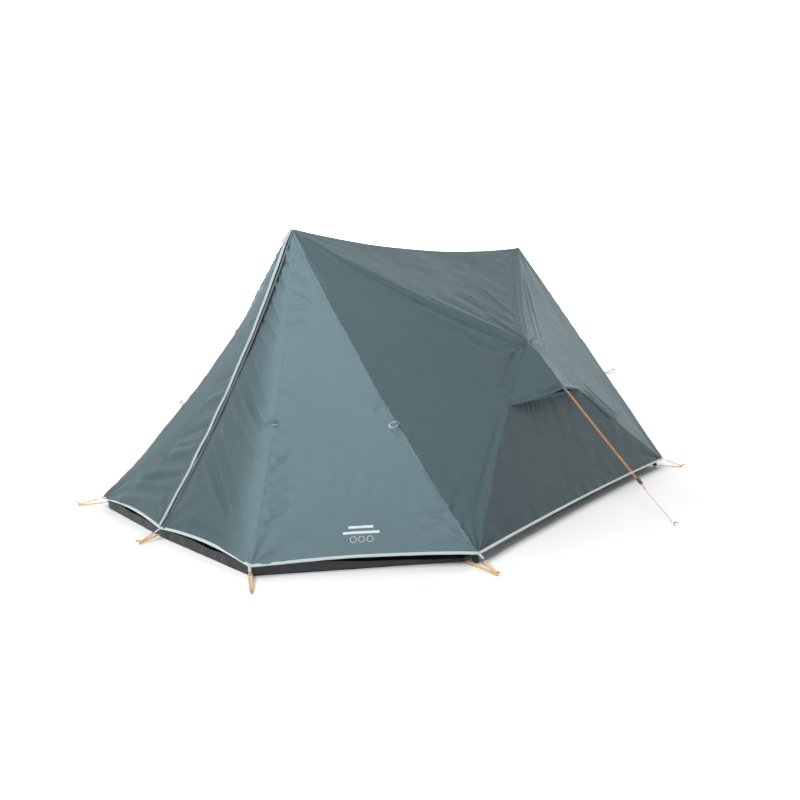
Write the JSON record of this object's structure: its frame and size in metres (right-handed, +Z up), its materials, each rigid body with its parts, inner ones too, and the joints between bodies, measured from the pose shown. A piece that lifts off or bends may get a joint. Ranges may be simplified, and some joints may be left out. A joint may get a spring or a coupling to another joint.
{
  "type": "frame tent",
  "caption": "Ridge tent on two A-shaped pole frames, with a zipped porch, side vent hoods, an inner tent, a full groundsheet, pegs and side guylines.",
  "frame": {"origin": "on the ground, under the middle of the tent's footprint", "axes": "+Z up; the porch and its doors face -Y; the ridge runs along Y"},
  "size_m": [2.9374, 3.0235, 1.3414],
  "materials": {
    "fly": "satin",
    "doors": "satin",
    "band": "matte",
    "mesh": "matte",
    "inner": "matte",
    "groundsheet": "satin",
    "elastic": "matte",
    "cord": "matte",
    "tube": "satin",
    "peg": "satin",
    "plastic": "matte",
    "slider": "satin"
  },
  "bodies": {
    "shell": {"fly_roof_left": "fly", "fly_front_side_left": "fly", "fly_rear_side_left": "fly", "porch_side_left": "doors", "fly_lower_side_left": "fly", "vent_hood_left": "fly", "vent_mesh_left": "mesh", "fly_roof_right": "fly", "fly_front_side_right": "fly", "fly_rear_side_right": "fly", "porch_side_right": "doors", "fly_lower_side_right": "fly", "vent_hood_right": "fly", "vent_mesh_right": "mesh", "fly_rear_end": "fly", "inner_side_left": "inner", "inner_front_left": "inner", "inner_side_right": "inner", "inner_front_right": "inner", "inner_rear": "inner", "groundsheet": "groundsheet", "peg_door": "peg", "peg_porch_left": "peg", "peg_porch_right": "peg", "peg_front_left": "peg", "peg_front_right": "peg", "peg_rear_left": "peg", "peg_rear_right": "peg", "peg_guy_left": "peg", "peg_guy_right": "peg", "peg_loop_door": "elastic", "peg_loop_porch_left": "elastic", "peg_loop_porch_right": "elastic", "peg_loop_front_left": "elastic", "peg_loop_front_right": "elastic", "peg_loop_rear_left": "elastic", "peg_loop_rear_right": "elastic", "guyline_left": "cord", "guyline_right": "cord"},
    "front_frame": {"front_hub": "plastic", "front_upper_tube_left": "tube", "front_lower_tube_left": "tube", "front_foot_left": "plastic", "front_upper_tube_right": "tube", "front_lower_tube_right": "tube", "front_foot_right": "plastic"},
    "rear_frame": {"rear_hub": "plastic", "rear_upper_tube_left": "tube", "rear_lower_tube_left": "tube", "rear_foot_left": "plastic", "rear_upper_tube_right": "tube", "rear_lower_tube_right": "tube", "rear_foot_right": "plastic"},
    "door_left": {"door_flap_left": "doors", "storm_flap": "band"},
    "door_right": {"door_flap_right": "doors"},
    "slider": {"zip_slider": "slider"},
    "inner_door": {"inner_door": "inner"},
    "tensioner_left": {"tensioner_left": "plastic"},
    "tensioner_right": {"tensioner_right": "plastic"}
  },
  "joints": [
    {"name": "front_frame_fold", "type": "hinge", "parent": "shell", "child": "front_frame", "pos_m": [0, -0.667, 0.012], "axis": [1, 0, 0], "range_deg": [-86, 0], "deforming": ["fly_roof_left", "fly_front_side_left", "fly_rear_side_left", "porch_side_left", "fly_lower_side_left", "vent_hood_left", "vent_mesh_left", "fly_roof_right", "fly_front_side_right", "fly_rear_side_right", "porch_side_right", "fly_lower_side_right", "vent_hood_right", "vent_mesh_right", "fly_rear_end", "inner_side_left", "inner_front_left", "inner_side_right", "inner_front_right", "inner_rear", "door_flap_left", "door_flap_right", "storm_flap", "inner_door", "guyline_left", "guyline_right", "groundsheet"]},
    {"name": "rear_frame_fold", "type": "hinge", "parent": "shell", "child": "rear_frame", "pos_m": [0, 1.397, 0.012], "axis": [1, 0, 0], "range_deg": [0, 74.1]},
    {"name": "door_right_swing", "type": "hinge", "parent": "shell", "child": "door_right", "pos_m": [0.65, -1.381, 0.045], "axis": [-0.4039, 0.435, 0.8047], "range_deg": [0, 130]},
    {"name": "door_left_swing", "type": "hinge", "parent": "shell", "child": "door_left", "pos_m": [-0.65, -1.381, 0.045], "axis": [-0.4039, -0.435, -0.8047], "range_deg": [0, 130]},
    {"name": "zip_slide", "type": "slide", "parent": "door_right", "child": "slider", "axis": [0, 0.4859, 0.874], "range_m": [0, 1.3]},
    {"name": "inner_door_swing", "type": "hinge", "parent": "shell", "child": "inner_door", "pos_m": [-0.308, -0.605, 0.012], "axis": [-0.2667, 0, -0.9638], "range_deg": [0, 80]},
    {"name": "tensioner_left_slide", "type": "slide", "parent": "shell", "child": "tensioner_left", "axis": [0.7113, -0.0255, 0.7024], "range_m": [0, 0.3]},
    {"name": "tensioner_right_slide", "type": "slide", "parent": "shell", "child": "tensioner_right", "axis": [-0.7113, -0.0255, 0.7024], "range_m": [0, 0.3]}
  ],
  "couplings": [
    {"joint": "rear_frame_fold", "follows": "front_frame_fold", "ratio": -0.8605}
  ]
}
